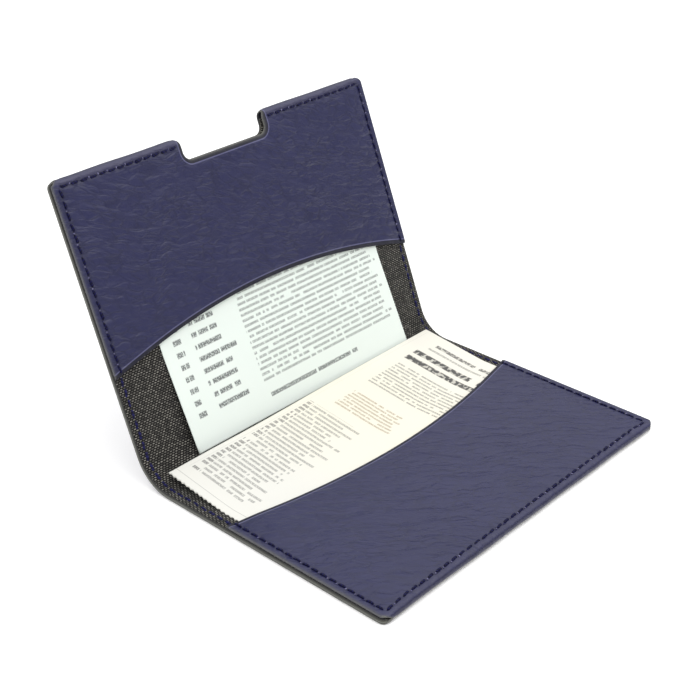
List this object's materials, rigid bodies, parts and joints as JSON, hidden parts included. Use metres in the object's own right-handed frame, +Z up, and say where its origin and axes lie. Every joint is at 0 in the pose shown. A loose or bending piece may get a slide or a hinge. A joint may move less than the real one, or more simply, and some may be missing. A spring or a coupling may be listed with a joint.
{
  "type": "passport holder",
  "caption": "Bifold passport holder of stitched, pebbled navy leather with a woven lining, two open-mouthed inner pockets, a thumb notch and papers in both pockets.",
  "frame": {"origin": "middle of the flat face under the front wing, which the holder lies on", "axes": "+X along the fold, +Y from the front wing towards the fold and the leaning rear wing, +Z up"},
  "size_m": [0.14, 0.1387, 0.0951],
  "materials": {
    "navy_leather": "satin",
    "lining": "matte",
    "interliner": "matte",
    "thread": "satin",
    "cream_paper": "matte",
    "mint_paper": "matte"
  },
  "bodies": {
    "front_wing": {"front_cover": "navy_leather", "front_interliner": "interliner", "front_lining": "lining", "front_turned_edge": "navy_leather", "front_pocket": "navy_leather", "front_thread_left": "thread", "front_thread_right": "thread", "front_thread_edge": "thread"},
    "rear_wing": {"rear_cover": "navy_leather", "rear_interliner": "interliner", "rear_lining": "lining", "rear_turned_edge_left": "navy_leather", "rear_turned_edge_right": "navy_leather", "rear_pocket": "navy_leather", "rear_thread_left": "thread", "rear_thread_right": "thread", "rear_thread_edge_left": "thread", "rear_thread_edge_right": "thread"},
    "certificate": {"folded_certificate": "cream_paper"},
    "card": {"insurance_card": "mint_paper"}
  },
  "joints": [
    {"name": "fold", "type": "hinge", "parent": "front_wing", "child": "rear_wing", "pos_m": [0, 0.05188, 0.00426], "axis": [1, 0, 0], "range_deg": [-68, 112]},
    {"name": "certificate_slide", "type": "slide", "parent": "front_wing", "child": "certificate", "axis": [0, -1, 0], "range_m": [0, 0.004]},
    {"name": "card_slide", "type": "slide", "parent": "rear_wing", "child": "card", "axis": [0, 0.3746, 0.9272], "range_m": [-0.00083, 0.00137]}
  ],
  "couplings": [
    {"joint": "card_slide", "follows": "fold", "m_per_rad": 0.0007}
  ]
}
